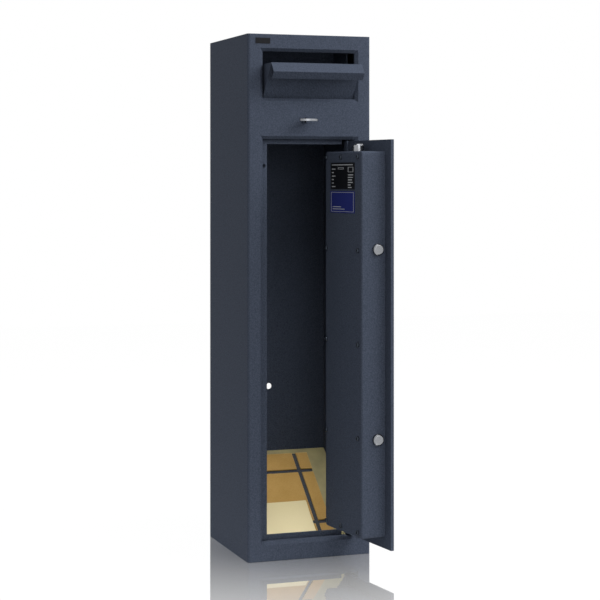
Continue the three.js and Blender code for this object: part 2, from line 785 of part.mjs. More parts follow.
function topBoltRod() {
  const rise = doorMidZ + footRise;
  const pinZ = doorMidZ - camPinPlace;
  const collarTop = doorLockBoltFoot - lockBoltGap;
  const rod = rodAlongZ(rodRadius, 0, topBoltY, [rise - overrun, topBoltFoot - clearance], smallSides);
  const collar = rodAlongZ(collarRadius, 0, topBoltY, [collarTop - collarHeight, collarTop], smallSides);
  const plate = block([footInset, footReach], [footFrontY, footBackY], [pinZ - slotHalf - footSlotDrop, rise]);
  const bridge = block([-rodRadius, footReach], [footFrontY, footBackY], [rise - 2 * overrun, rise]);
  const slot = block(grown([camPinPlace, camPinSwing], slotHalf), grown([footFrontY, footBackY], overrun),
    grown([pinZ, pinZ], slotHalf));
  return cut(join(rod, collar, plate, bridge), slot);
}

// Turning parts of the handle
function camDisc() {
  const disc = rodAlongY(camRadius, 0, [camFrontY, camBackY], doorMidZ);
  const barPin = rodAlongY(camPinRadius, camPinPlace, [camBackY - clearance, armBackY],
    doorMidZ + camPinPlace, smallSides);
  const rodPin = rodAlongY(camPinRadius, camPinPlace, [camBackY - clearance, footBackY + camPinProud],
    doorMidZ - camPinPlace, smallSides);
  const bore = rodAlongY(spindleRadius + pinFit, 0, [camFrontY - overrun, camBackY - clearance],
    doorMidZ, smallSides);
  return cut(join(disc, barPin, rodPin), bore);
}

function handleSpindle() {
  const start = plateFrontY - handleReach + handleBarThickness;
  return rodAlongY(spindleRadius, 0, [start, camBackY - 2 * clearance], doorMidZ, smallSides);
}

function doorHandle() {
  const outer = plateFrontY - handleReach;
  const inner = plateFrontY - rosetteThickness - 2 * clearance;
  const bore = [outer + handleBarThickness - clearance, inner + overrun];
  const edges = [handleBarEdge, handleBarEdge, handleBarEdge, handleBarEdge];
  const outline = roundedRectangle([-handleBarHalfWidth, handleBarHalfWidth],
    grown([doorMidZ, doorMidZ], handleBarHalfLength), edges, bendSteps - 2);
  const hub = rodAlongY(hubRadius, 0, [outer + clearance, inner], doorMidZ);
  return cut(join(hub, prismAlongY(outline, [outer, outer + handleBarThickness])),
    rodAlongY(spindleRadius + pinFit, 0, bore, doorMidZ, smallSides));
}

function handleRosette() {
  const faces = [plateFrontY - clearance - rosetteThickness, plateFrontY - clearance];
  return cut(rodAlongY(rosetteRadius, 0, faces, doorMidZ),
    rodAlongY(spindleRadius + pinFit, 0, grown(faces, overrun), doorMidZ, smallSides));
}

// Door lock
const doorLockBoltY = grown([topBoltY, topBoltY], lockBoltDepth / 2);
const doorLockBoltZ = [doorLockBoltFoot, doorLockBoltFoot + lockBoltHeight];

function doorLockCase() {
  const front = plateBackY + clearance;
  return lockCase([doorCaseLeft, doorCaseRight], [front, front + doorCaseDepth],
    [doorLockZ - doorCaseDrop, doorLockZ + doorCaseRise], { x: doorLockX, z: doorLockZ }, {
      x: grown([doorCaseLeft, doorCaseLeft + lockCaseWall], overrun / 2),
      y: grown(doorLockBoltY, clearance),
      z: grown(doorLockBoltZ, clearance),
    });
}

function doorLockBolt() {
  const tip = doorCaseLeft + clearance;
  return block([tip, tip + doorLockBoltLength], doorLockBoltY, doorLockBoltZ);
}

function doorEscutcheon() {
  const radius = escutcheonHalfWidth - clearance;
  const outline = roundedRectangle(grown([doorLockX, doorLockX], escutcheonHalfWidth),
    grown([doorLockZ, doorLockZ], escutcheonHalfHeight), [radius, radius, radius, radius]);
  const faces = [plateFrontY - clearance - escutcheonThickness, plateFrontY - clearance];
  return cut(prismAlongY(outline, faces), keyHole(doorLockX, grown(faces, overrun), doorLockZ));
}

// Hopper lock
const hopperCaseFrontY = frontY + wall + clearance;
const hopperLockBoltStart = hopperCaseFrontY + hopperLockBoltSetBack;
const hopperLockBoltY = [hopperLockBoltStart, hopperLockBoltStart + lockBoltDepth];
const hopperLockBoltFoot = hopperLockZ + hopperLockBoltRise;
const hopperLockBoltZ = [hopperLockBoltFoot, hopperLockBoltFoot + lockBoltHeight];

function hopperLockCase() {
  return lockCase([hopperCaseLeft, hopperCaseRight], [hopperCaseFrontY, hopperCaseFrontY + hopperCaseDepth],
    [hopperLockZ - hopperCaseDrop, hopperLockZ + hopperCaseRise], { x: hopperLockX, z: hopperLockZ }, {
      x: grown([hopperCaseRight - lockCaseWall, hopperCaseRight], overrun / 2),
      y: grown(hopperLockBoltY, clearance),
      z: grown(hopperLockBoltZ, clearance),
    });
}

function hopperLockBolt() {
  const tip = hopperCaseRight - clearance;
  return block([tip - hopperLockBoltLength, tip], hopperLockBoltY, hopperLockBoltZ);
}

function hopperLockRosette() {
  const faces = [frontY - lockRosetteThickness, frontY + wall];
  const flange = rodAlongY(lockRosetteRadius, hopperLockX, [faces[0], frontY - clearance], hopperLockZ);
  const neck = rodAlongY(lockRosetteRadius - 2 * clearance, hopperLockX, [frontY - 2 * clearance, faces[1]],
    hopperLockZ, smallSides);
  return cut(join(flange, neck), keyHole(hopperLockX, grown(faces, overrun), hopperLockZ));
}

// Hopper pieces, drawn closed about their pivot
const floorNormal = hopperFloorAngle + 3 * Math.PI / 2;

function hopperTrough() {
  const nose = [-hopperPanelOffset - hopperGripDepth, hopperPanelHeight - hopperGripDrop];
  const end = [hopperFloorReach * Math.cos(hopperFloorAngle) + hopperPanelOffset * Math.cos(floorNormal),
    hopperFloorReach * Math.sin(hopperFloorAngle) + hopperPanelOffset * Math.sin(floorNormal)];
  const path = [[nose[0] + hopperSheet / 2, nose[1] - hopperGripLip], nose,
    [-hopperPanelOffset, hopperPanelHeight],
    ...arcPoints(hopperPanelOffset, Math.PI, floorNormal, bendSteps), end];
  return prismAlongX(sheetOutline(atPivot(path), hopperSheet), [-hopperHalfWidth, hopperHalfWidth]);
}

// Upper front corner of a side plate, from the pivot
function sidePlateTopFront() {
  return [hopperSheet / 2 + clearance - hopperPanelOffset, hopperPanelHeight];
}

function hopperSidePlate(side) {
  const [topY, topZ] = sidePlateTopFront();
  const reach = hopperFloorReach - clearance;
  const along = topY * Math.cos(hopperOpenAngle) - topZ * Math.sin(hopperOpenAngle);
  const run = Math.sqrt(along * along + reach * reach - topY * topY - topZ * topZ) - along;
  const topBack = Math.atan2(topZ - run * Math.sin(hopperOpenAngle), topY + run * Math.cos(hopperOpenAngle));
  const low = hopperFloorAngle + Math.asin(topY / reach);
  const outline = atPivot([[topY, topZ], ...arcPoints(-topY, Math.PI, floorNormal, bendSteps),
    ...arcPoints(reach, low, topBack, bendSteps)]);
  const outer = hopperHalfWidth - sidePlateInset;
  const span = side > 0 ? [outer - hopperSheet, outer] : [-outer, hopperSheet - outer];
  return cut(prismAlongX(outline, span),
    rodAlongX(pivotRodRadius + pinFit, grown(span, overrun), hopperPivotY, hopperPivotZ, smallSides));
}

// Tab under the trough that the lock bolt stands behind
function hopperCatch() {
  const under = hopperPanelOffset + hopperSheet / 2 + clearance;
  const floorZ = (y) => Math.tan(hopperFloorAngle) * y - under / Math.cos(hopperFloorAngle);
  const catchFoot = hopperLockBoltFoot - hopperPivotZ - catchOverlap;
  const outline = atPivot([[catchFront, catchFoot], [catchBack, catchFoot],
    [catchBack, floorZ(catchBack)], [catchFront, floorZ(catchFront)]]);
  return prismAlongX(outline, [catchX, catchX + catchThickness]);
}

// The whole safe
function place(group, name, manifold, material) {
  group.add(meshOf(name, manifold, material));
}

function addCabinet(group) {
  place(group, 'cabinet_body', cabinetBody(), paint);
  place(group, 'back_panel', backPanel(), paint);
  place(group, 'door_stop_frame', doorStopFrame(), paint);
  place(group, 'hinge_pin_top', hingePinTop(), dullSteel);
  place(group, 'hinge_pin_bottom', hingePinBottom(), dullSteel);
  place(group, 'hopper_cheek_left', hopperCheek(-1), paint);
  place(group, 'hopper_cheek_right', hopperCheek(1), paint);
  place(group, 'hopper_pivot_rod', pivotRod(), dullSteel);
  place(group, 'curved_baffle', curvedBaffle(), darkPaint);
  place(group, 'hopper_lock_case', hopperLockCase(), dullSteel);
  place(group, 'hopper_lock_rosette', hopperLockRosette(), brightSteel);
  const badgeLeft = -halfWidth + badgeInset;
  const badgeTop = cabinetHeight - badgeDrop;
  place(group, 'front_badge', block([badgeLeft, badgeLeft + badgeWidth],
    [frontY - clearance - badgeThickness, frontY - clearance], [badgeTop - badgeHeight, badgeTop]), blackPlate);
}

function addRamp(group) {
  const backingTop = clearance + backingThickness;
  const boardFoot = backingTop + clearance;
  const padFoot = boardFoot + boardThickness + clearance;
  place(group, 'ramp_plate', rampPlate(), zincPlate);
  place(group, 'ramp_backing',
    slopedSheet([-boardHalfWidth, boardHalfWidth], boardSpan, [clearance, backingTop], 0), darkPaint);
  for (const [row, down] of Object.entries(boardRows)) {
    for (const [column, across] of Object.entries(boardColumns)) {
      const board = slopedSheet(across, down, [boardFoot, boardFoot + boardThickness], boardBevel);
      place(group, `ramp_board_${row}_${column}`, board, boardFinish);
    }
  }
  const padAcross = [-boardHalfWidth, boardHalfWidth * padRightShare];
  const padDown = [rampLength * padStartShare, boardSpan[1]];
  place(group, 'landing_pad',
    slopedSheet(padAcross, padDown, [padFoot, padFoot + padThickness], padBevel), padFinish);
}

function addDoor(group) {
  place(group, 'door_plate', doorPlate(), paint);
  place(group, 'hinge_block_top', hingeBlock([plateTop - hingeBlockHeight, plateTop]), paint);
  place(group, 'hinge_block_bottom', hingeBlock([plateBottom, plateBottom + hingeBlockHeight]), paint);
  place(group, 'bolt_box', boltBox(), paint);
  place(group, 'bolt_box_cover', boltBoxCover(), paint);
  screwPlaces().forEach(([x, z], index) => {
    place(group, `cover_screw_${String(index + 1).padStart(2, '0')}`, coverScrew(x, z), dullSteel);
  });
  const ratingTop = boxTop - ratingTopDrop;
  const noticeTop = ratingTop - ratingHeight - labelSpacing;
  place(group, 'rating_plate', coverLabel(ratingWidthShare, ratingHeight, ratingTop), blackPlate);
  place(group, 'notice_plate', coverLabel(noticeWidthShare, noticeHeight, noticeTop), bluePlate);
  place(group, 'door_lock_case', doorLockCase(), dullSteel);
  place(group, 'door_escutcheon', doorEscutcheon(), brightSteel);
  place(group, 'handle_rosette', handleRosette(), brightSteel);
}

function addBoltWork(group) {
  const [upper, lower] = sideBoltHeights;
  place(group, 'bolt_bar', boltBar(), dullSteel);
  place(group, 'side_bolt_upper', sideBolt(upper), brightSteel);
  place(group, 'side_bolt_lower', sideBolt(lower), brightSteel);
  place(group, 'top_bolt', topBolt(), brightSteel);
  place(group, 'top_bolt_rod', topBoltRod(), dullSteel);
  place(group, 'cam_disc', camDisc(), dullSteel);
  place(group, 'handle_spindle', handleSpindle(), dullSteel);
  place(group, 'door_handle', doorHandle(), brightSteel);
  place(group, 'door_lock_bolt', doorLockBolt(), brightSteel);
  const keyFace = plateFrontY - clearance - escutcheonThickness;
  place(group, 'door_key', keySolid(doorLockX, keyFace, doorLockZ, doorCaseDepth), brightSteel);
}

function addHopper(group) {
  place(group, 'hopper_trough', hopperTrough(), paint);
  place(group, 'hopper_side_left', hopperSidePlate(-1), paint);
  place(group, 'hopper_side_right', hopperSidePlate(1), paint);
  place(group, 'hopper_catch', hopperCatch(), dullSteel);
}

const safe = new THREE.Group();
addCabinet(safe);
addRamp(safe);
place(safe, 'hopper_lock_bolt', hopperLockBolt(), brightSteel);
const hopperKeyDepth = wall + hopperCaseDepth - lockCaseWall;
place(safe, 'hopper_key',
  keySolid(hopperLockX, frontY - lockRosetteThickness, hopperLockZ, hopperKeyDepth), brightSteel);

const door = turningGroup(hingeX, hingeY, 0);
door.outer.rotation.z = doorOpenAngle;
addDoor(door.inner);
addBoltWork(door.inner);
safe.add(door.outer);

const hopper = turningGroup(0, hopperPivotY, hopperPivotZ);
hopper.outer.rotation.x = hopperOpenAngle;
addHopper(hopper.inner);
safe.add(hopper.outer);

export default safe;
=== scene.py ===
# %% [markdown]
# # A drop safe with a tilting deposit drawer
#
# This lesson dresses a steel drop safe: a tall narrow cabinet with a deposit drawer at the
# top, a long door standing open, and a padded ramp at the bottom of the compartment. The
# measured solids come in as a fixed frame that is already built and jointed. The cells
# below give each of them its real finish, round its edges as a press brake does, and
# make the pieces that a solid can only hint at: the felt pad, the folded cover of the bolt
# work, and the rules on the label plates.

# %% Load the measured safe as a fixed frame
import json
import math

import bpy
import numpy as np
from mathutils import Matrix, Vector


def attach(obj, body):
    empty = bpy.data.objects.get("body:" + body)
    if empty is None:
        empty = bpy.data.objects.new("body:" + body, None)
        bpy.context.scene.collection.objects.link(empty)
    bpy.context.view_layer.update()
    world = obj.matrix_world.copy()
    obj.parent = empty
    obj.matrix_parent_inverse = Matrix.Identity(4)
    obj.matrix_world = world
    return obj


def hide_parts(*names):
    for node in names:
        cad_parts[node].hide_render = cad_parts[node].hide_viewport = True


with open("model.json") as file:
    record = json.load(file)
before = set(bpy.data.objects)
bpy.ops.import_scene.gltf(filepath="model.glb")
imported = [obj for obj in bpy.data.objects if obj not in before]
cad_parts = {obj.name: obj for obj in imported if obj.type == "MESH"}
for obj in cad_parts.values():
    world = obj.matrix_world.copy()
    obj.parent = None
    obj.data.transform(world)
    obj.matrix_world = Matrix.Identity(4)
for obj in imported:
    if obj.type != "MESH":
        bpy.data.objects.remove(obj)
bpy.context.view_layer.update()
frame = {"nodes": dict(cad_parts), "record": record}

# %% [markdown]
# ## Camera
#
# The picture looks at the safe from its front left corner at chest height, with the lens
# held level so that every upright edge stays parallel. Tilting the camera down would make
# the sides lean together, so the view is moved down with lens shift instead, as a
# photographer of buildings does.

# %% The camera
# The lens and its level axis are given in pixels of a square picture, from its top left
IMAGE_SIDE = 600
SENSOR = 36.0
FOCAL_PIXELS = 1691.0
PRINCIPAL_COLUMN = 300.4
PRINCIPAL_ROW = 177.3
VIEW_TURN = math.radians(-19.365)
CAMERA_PLACE = (-1.3066, -3.8038, 0.8738)
FARTHEST_SEEN = 50


def add_object(name, data):
    """An object at the origin that shows the data, linked into the scene."""
    thing = bpy.data.objects.new(name, data)
    bpy.context.scene.collection.objects.link(thing)
    return thing


camera_data = bpy.data.cameras.new("chest_height_camera")
camera_data.sensor_width = SENSOR
camera_data.lens = FOCAL_PIXELS / IMAGE_SIDE * SENSOR
camera_data.shift_x = (IMAGE_SIDE / 2 - PRINCIPAL_COLUMN) / IMAGE_SIDE
camera_data.shift_y = (PRINCIPAL_ROW - IMAGE_SIDE / 2) / IMAGE_SIDE
camera_data.clip_end = FARTHEST_SEEN
camera = add_object("chest_height_camera", camera_data)
camera.location = CAMERA_PLACE
camera.rotation_euler = (math.radians(90), 0, VIEW_TURN)
bpy.context.scene.camera = camera
print("lens", round(camera_data.lens, 1), "mm")

# %% [markdown]
# ## Helpers for materials
#
# Colours are written as the hex values that a picture shows, and one function turns them
# into the linear values that shaders work with. A second small function adds a node: an
# input given as another node's output is linked, and anything else is set as a value.

# %% Colour and node helpers
MM = 0.001


def linear(code):
    """sRGB hex colour to linear RGBA: each channel c becomes ((c + 0.055) / 1.055) ** 2.4."""
    channels = [int(code[i:i + 2], 16) / 255 for i in (1, 3, 5)]
    return tuple(c / 12.92 if c <= 0.04045 else ((c + 0.055) / 1.055) ** 2.4
                 for c in channels) + (1.0,)


def add_node(tree, kind, inputs=None, stops=(), **settings):
    """Adds a node of that kind, sets its properties, and links or fills its inputs.

    The stops of a colour ramp are pairs of a place, from 0 to 1, and a hex colour.
    """
    node = tree.nodes.new(kind)
    for name, value in settings.items():
        setattr(node, name, value)
    for key, value in (inputs or {}).items():
        if isinstance(value, bpy.types.NodeSocket):
            tree.links.new(value, node.inputs[key])
        else:
            node.inputs[key].default_value = value
    for index, (place, code) in enumerate(stops):
        node.color_ramp.elements[index].position = place
        node.color_ramp.elements[index].color = linear(code)
    return node


def new_material(name):
    """A material without nodes yet, and its empty node tree."""
    material = bpy.data.materials.new(name)
    material.use_nodes = True
    material.node_tree.nodes.clear()
    return material, material.node_tree


print("a mid grey is", [round(c, 3) for c in linear("#808080")])

# %% [markdown]
# ## Powder coat
#
# The cabinet is mild steel sheet with a textured polyester powder coat. The powder is
# sprayed dry and baked, and it draws together into small leathery ripples while it melts.
# The eye sees a satin blue grey with a faint slanting grain. The real ripples are about a
# millimetre wide, too fine for a picture of this size, so they are drawn two millimetres
# wide and six long. Stretched noise gives them: the coordinates are turned until the grain
# lies along one axis, and then squeezed along it.

# %% Powder coat material
RIPPLE_WIDTH = 2 * MM
RIPPLE_DEPTH = 0.2 * MM
RIPPLE_SQUEEZE = 0.33
grain_direction = Vector((1, 0.8, -1))
ripple_turn = grain_direction.rotation_difference(Vector((1, 0, 0))).to_euler()


def powder_coat(name, dark, light):
    """A satin powder coat whose ripples vary between two close colours."""
    material, tree = new_material(name)
    coords = add_node(tree, "ShaderNodeTexCoord")
    turned = add_node(tree, "ShaderNodeMapping",
                      {"Vector": coords.outputs["Object"], "Rotation": ripple_turn})
    squeezed = add_node(tree, "ShaderNodeMapping",
                        {"Vector": turned.outputs["Vector"],
                         "Scale": (RIPPLE_SQUEEZE, 1.0, 1.0)})
    ripples = add_node(tree, "ShaderNodeTexNoise",
                       {"Vector": squeezed.outputs["Vector"], "Scale": 1 / RIPPLE_WIDTH,
                        "Detail": 1.0})
    tone = add_node(tree, "ShaderNodeValToRGB", {"Fac": ripples.outputs["Fac"]},
                    stops=((0.3, dark), (0.7, light)))
    bump = add_node(tree, "ShaderNodeBump",
                    {"Height": ripples.outputs["Fac"], "Strength": 0.4,
                     "Distance": RIPPLE_DEPTH})
    coat = add_node(tree, "ShaderNodeBsdfPrincipled",
                    {"Base Color": tone.outputs["Color"], "Roughness": 0.6,
                     "Specular IOR Level": 0.02, "Normal": bump.outputs["Normal"]})
    add_node(tree, "ShaderNodeOutputMaterial", {"Surface": coat.outputs["BSDF"]})
    return material


safe_coat = powder_coat("textured_powder_coat", "#3d4451", "#4c5362")
# The darker coat is painted shade: a shaded copy of the safe's coat that stands for the shade on
# the solids of the dark_paint slot and on the hinge pins.
painted_shade_coat = powder_coat("painted_shade_powder_coat", "#1d222b", "#282e39")
backing_coat = powder_coat("grey_backing_coat", "#36383d", "#434549")
print(safe_coat.name, painted_shade_coat.name, backing_coat.name)

# %% [markdown]
# ## Steels
#
# Four bare metals are used. The bolts are turned bar with a bright zinc plate, the keys
# and the handle are nickel plated, the screws are black oxide, and the rods and lock cases
# inside are plain drawn steel.
# Turning leaves fine rings round the axis, which smear a highlight along the bar. Squeezed
# noise gives the rings: it changes quickly along the axis and slowly round it. The bolts
# and screws of the door point where the open door does, so their rings turn with it.

# %% Steel materials
RING_WIDTH = 0.8 * MM
RING_DEPTH = 0.02 * MM
RING_SQUEEZE = 0.06


def turned_steel(name, colour_code, roughness, axis_turn=(0, 0, 0)):
    """Steel with rings round the local Z axis, after its coordinates are turned."""
    material, tree = new_material(name)
    coords = add_node(tree, "ShaderNodeTexCoord")
    turned = add_node(tree, "ShaderNodeMapping",
                      {"Vector": coords.outputs["Object"], "Rotation": axis_turn})
    squeezed = add_node(tree, "ShaderNodeMapping",
                        {"Vector": turned.outputs["Vector"],
                         "Scale": (RING_SQUEEZE, RING_SQUEEZE, 1.0)})
    rings = add_node(tree, "ShaderNodeTexNoise",
                     {"Vector": squeezed.outputs["Vector"], "Scale": 1 / RING_WIDTH,
                      "Detail": 2.0})
    gloss = add_node(tree, "ShaderNodeMapRange",
                     {"Value": rings.outputs["Fac"], "From Min": 0.3, "From Max": 0.7,
                      "To Min": roughness * 0.8, "To Max": roughness * 1.25})
    bump = add_node(tree, "ShaderNodeBump",
                    {"Height": rings.outputs["Fac"], "Strength": 0.25,
                     "Distance": RING_DEPTH})
    metal = add_node(tree, "ShaderNodeBsdfPrincipled",
                     {"Base Color": linear(colour_code), "Metallic": 1.0,
                      "Roughness": gloss.outputs["Result"],
                      "Normal": bump.outputs["Normal"]})
    add_node(tree, "ShaderNodeOutputMaterial", {"Surface": metal.outputs["BSDF"]})
    return material


door_swing = next(joint for joint in frame["record"]["behaviour"]["joints"]
                  if joint["name"] == "door_swing")
door_angle = math.radians(-door_swing["range_deg"][0])
level = math.radians(90)
bright_bolt = turned_steel("turned_zinc_plated_bolt", "#8f9195", 0.25, (level, 0, door_angle))
bright_upright = turned_steel("turned_zinc_plated_upright", "#8f9195", 0.25)
nickel_key = turned_steel("nickel_plated_key", "#85878b", 0.35, (level, 0, 0))
plain_steel = turned_steel("drawn_plain_steel", "#7c8188", 0.4)
black_screw = turned_steel("black_oxide_screw", "#3a4049", 0.4, (level, 0, door_angle))
print(bright_bolt.name, bright_upright.name, nickel_key.name, plain_steel.name,
      black_screw.name)

# %% [markdown]
# ## Ramp sheet
#
# The ramp is folded sheet, zinc plated and dipped for an olive yellow passivation, a film
# so thin that its colour drifts from green to gold over a few centimetres. Broad noise
# gives the drift, and fine noise the grain of the plate, which only roughens the surface.

# %% Passivated sheet
DRIFT_WIDTH = 40 * MM
PLATE_GRAIN = 1.5 * MM


def passivated_sheet():
    """Zinc plate under a yellow passivation: two olive tones drift into each other."""
    material, tree = new_material("olive_passivated_sheet")
    coords = add_node(tree, "ShaderNodeTexCoord")
    drift = add_node(tree, "ShaderNodeTexNoise",
                     {"Vector": coords.outputs["Object"], "Scale": 1 / DRIFT_WIDTH,
                      "Detail": 3.0})
    tone = add_node(tree, "ShaderNodeValToRGB", {"Fac": drift.outputs["Fac"]},
                    stops=((0.35, "#797047"), (0.7, "#8a8152")))
    grain = add_node(tree, "ShaderNodeTexNoise",
                     {"Vector": coords.outputs["Object"], "Scale": 1 / PLATE_GRAIN,
                      "Detail": 1.0})
    bump = add_node(tree, "ShaderNodeBump",
                    {"Height": grain.outputs["Fac"], "Strength": 0.2,
                     "Distance": 0.05 * MM})
    sheet = add_node(tree, "ShaderNodeBsdfPrincipled",
                     {"Base Color": tone.outputs["Color"], "Metallic": 0.1,
                      "Roughness": 0.55, "Normal": bump.outputs["Normal"]})
    add_node(tree, "ShaderNodeOutputMaterial", {"Surface": sheet.outputs["BSDF"]})
    return material


passivated = passivated_sheet()
print(passivated.name)

# %% [markdown]
# ## Lining boards
#
# The boards on the ramp are tan wood fibreboard, pressed hot from steamed fibres, so they
# are matt with tiny flecks. A saw opens the fibres, and the cut edges are paler than the
# faces; the rounded rims are made paler still as a painted highlight, where light would catch
# them. Noise squeezed along the board gives the flecks, and broad noise the clouds of a
# pressed sheet. The cut edges are the same material between two lighter tans.

# %% Fibreboard
FLECK_WIDTH = 1.2 * MM
FLECK_SQUEEZE = 0.3
CLOUD_WIDTH = 60 * MM


def fibreboard(name, dark, light):
    """Board between two tans, with flecks 4 mm long and 1.2 mm wide on broad clouds."""
    material, tree = new_material(name)
    coords = add_node(tree, "ShaderNodeTexCoord")
    squeezed = add_node(tree, "ShaderNodeMapping",
                        {"Vector": coords.outputs["Object"],
                         "Scale": (FLECK_SQUEEZE, 1.0, 1.0)})
    flecks = add_node(tree, "ShaderNodeTexNoise",
                      {"Vector": squeezed.outputs["Vector"], "Scale": 1 / FLECK_WIDTH,
                       "Detail": 3.0, "Roughness": 0.6})
    clouds = add_node(tree, "ShaderNodeTexNoise",
                      {"Vector": coords.outputs["Object"], "Scale": 1 / CLOUD_WIDTH})
    shade = add_node(tree, "ShaderNodeMix",
                     {"Factor": 0.45, "A": flecks.outputs["Fac"],
                      "B": clouds.outputs["Fac"]})
    tone = add_node(tree, "ShaderNodeValToRGB", {"Fac": shade.outputs["Result"]},
                    stops=((0.3, dark), (0.7, light)))
    bump = add_node(tree, "ShaderNodeBump",
                    {"Height": flecks.outputs["Fac"], "Strength": 0.3,
                     "Distance": 0.1 * MM})
    board_face = add_node(tree, "ShaderNodeBsdfPrincipled",
                          {"Base Color": tone.outputs["Color"], "Roughness": 0.8,
                           "Specular IOR Level": 0.2, "Normal": bump.outputs["Normal"]})
    add_node(tree, "ShaderNodeOutputMaterial", {"Surface": board_face.outputs["BSDF"]})
    return material


board = fibreboard("tan_fibreboard", "#97773d", "#b08d50")
# The sawn edge is partly the paler cut fibre and partly a painted highlight on the rims.
sawn_edge_and_highlight = fibreboard("pale_sawn_fibreboard_with_painted_highlight", "#b8934f", "#d0aa66")
print(board.name, sawn_edge_and_highlight.name)

# %% [markdown]
# ## Felt
#
# The pad that the bags land on is a pale pressed wool felt, quite matt, with a fuzz that
# lifts its edges. Its tone is painted light: it grows paler towards the lower end, as if the
# light were stronger there, so one tone follows the height on the pad, and small tufts
# break it up.

# %% Pressed felt
TUFT_WIDTH = 1.5 * MM


def pressed_felt():
    """Wool felt whose tone is a quarter tufts and three quarters painted light, paler down the
    pad.
    """
    material, tree = new_material("pale_pressed_felt")
    heights = [corner.co.z for corner in frame["nodes"]["landing_pad"].data.vertices]
    coords = add_node(tree, "ShaderNodeTexCoord")
    tufts = add_node(tree, "ShaderNodeTexNoise",
                     {"Vector": coords.outputs["Object"], "Scale": 1 / TUFT_WIDTH,
                      "Detail": 3.0, "Roughness": 0.65})
    axes = add_node(tree, "ShaderNodeSeparateXYZ", {"Vector": coords.outputs["Object"]})
    # Painted light: the pad is made paler towards its lower end.
    painted_light_downhill = add_node(tree, "ShaderNodeMapRange",
                     {"Value": axes.outputs["Z"], "From Min": max(heights),
                      "From Max": min(heights)})
    shade = add_node(tree, "ShaderNodeMix",
                     {"Factor": 0.75, "A": tufts.outputs["Fac"], "B": painted_light_downhill.outputs["Result"]})
    tone = add_node(tree, "ShaderNodeValToRGB", {"Fac": shade.outputs["Result"]},
                    stops=((0.1, "#c6b990"), (0.9, "#f2e4b8")))
    bump = add_node(tree, "ShaderNodeBump",
                    {"Height": tufts.outputs["Fac"], "Strength": 0.35,
                     "Distance": 0.25 * MM})
    wool = add_node(tree, "ShaderNodeBsdfPrincipled",
                    {"Base Color": tone.outputs["Color"], "Roughness": 0.9,
                     "Specular IOR Level": 0.1, "Sheen Weight": 0.2,
                     "Normal": bump.outputs["Normal"]})
    add_node(tree, "ShaderNodeOutputMaterial", {"Surface": wool.outputs["BSDF"]})
    return material


felt = pressed_felt()
print(felt.name)

# %% [markdown]
# ## Label plates
#
# Two thin anodised aluminium plates sit on the door and a small one on the front. The
# brushing before the dye leaves fine upright lines. They are finer than this picture can
# show, so they are drawn 0.8 mm wide, and they change only how the plate shines.

# %% Anodised plates
BRUSH_WIDTH = 0.8 * MM
BRUSH_SQUEEZE = 0.05


def anodised_plate(name, colour_code):
    """Dyed anodised aluminium with brushed lines that run along Z."""
    material, tree = new_material(name)
    coords = add_node(tree, "ShaderNodeTexCoord")
    squeezed = add_node(tree, "ShaderNodeMapping",
                        {"Vector": coords.outputs["Object"],
                         "Scale": (1.0, 1.0, BRUSH_SQUEEZE)})
    lines = add_node(tree, "ShaderNodeTexNoise",
                     {"Vector": squeezed.outputs["Vector"], "Scale": 1 / BRUSH_WIDTH,
                      "Detail": 2.0})
    gloss = add_node(tree, "ShaderNodeMapRange",
                     {"Value": lines.outputs["Fac"], "From Min": 0.3, "From Max": 0.7,
                      "To Min": 0.35, "To Max": 0.5})
    plate = add_node(tree, "ShaderNodeBsdfPrincipled",
                     {"Base Color": linear(colour_code),
                      "Roughness": gloss.outputs["Result"], "Specular IOR Level": 0.1})
    add_node(tree, "ShaderNodeOutputMaterial", {"Surface": plate.outputs["BSDF"]})
    return material


black_plate = anodised_plate("black_anodised_plate", "#121317")
blue_plate = anodised_plate("blue_anodised_plate", "#272f70")
print(black_plate.name, blue_plate.name)

# %% [markdown]
# ## Screen ink
#
# The plates carry no words here, only the ruled fields and the border of a stock plate
# before it is stamped. They are screen printed in a silver ink, which wears thin in small
# patches, and there it loses its shine.

# %% Screen ink
WEAR_WIDTH = 2 * MM


def screen_ink(name, colour_code):
    """Screen ink on a plate, with patches that shine less."""
    material, tree = new_material(name)
    coords = add_node(tree, "ShaderNodeTexCoord")
    wear = add_node(tree, "ShaderNodeTexNoise",
                    {"Vector": coords.outputs["Object"], "Scale": 1 / WEAR_WIDTH})
    gloss = add_node(tree, "ShaderNodeMapRange",
                     {"Value": wear.outputs["Fac"], "To Min": 0.4, "To Max": 0.7})
    ink = add_node(tree, "ShaderNodeBsdfPrincipled",
                   {"Base Color": linear(colour_code),
                    "Roughness": gloss.outputs["Result"], "Specular IOR Level": 0.2})
    add_node(tree, "ShaderNodeOutputMaterial", {"Surface": ink.outputs["BSDF"]})
    return material


silver_ink = screen_ink("silver_screen_ink", "#b4b7bb")
print(silver_ink.name)

# %% [markdown]
# ## Finishes for the measured solids
#
# Each solid names its material slot in the record, so most finishes follow from the slot.
# A few solids need another grain direction or another coat, and they are listed by name.
# The hinge pins take the darker coat as painted shade, for the shadow they lie in.

# %% Give every solid its finish
# The dark_paint slot takes the darker coat, which is painted shade.
slot_finish = {
    "safe_paint": safe_coat, "dark_paint": painted_shade_coat, "bright_steel": nickel_key,
    "plain_steel": plain_steel, "zinc_plate": passivated, "lining_board": board,
    "pad": felt, "black_plate": black_plate, "blue_plate": blue_plate,
}
named_finish = {
    "side_bolt_upper": bright_bolt, "side_bolt_lower": bright_bolt,
    "top_bolt": bright_upright, "hopper_lock_rosette": safe_coat,
    # Painted shade: the hinge pins get the darker coat for the shadow they stand in.
    "ramp_backing": backing_coat, "hinge_pin_top": painted_shade_coat,
    "hinge_pin_bottom": painted_shade_coat, "curved_baffle": safe_coat,
}
named_finish.update({name: black_screw for name in frame["nodes"]
                     if name.startswith("cover_screw")})


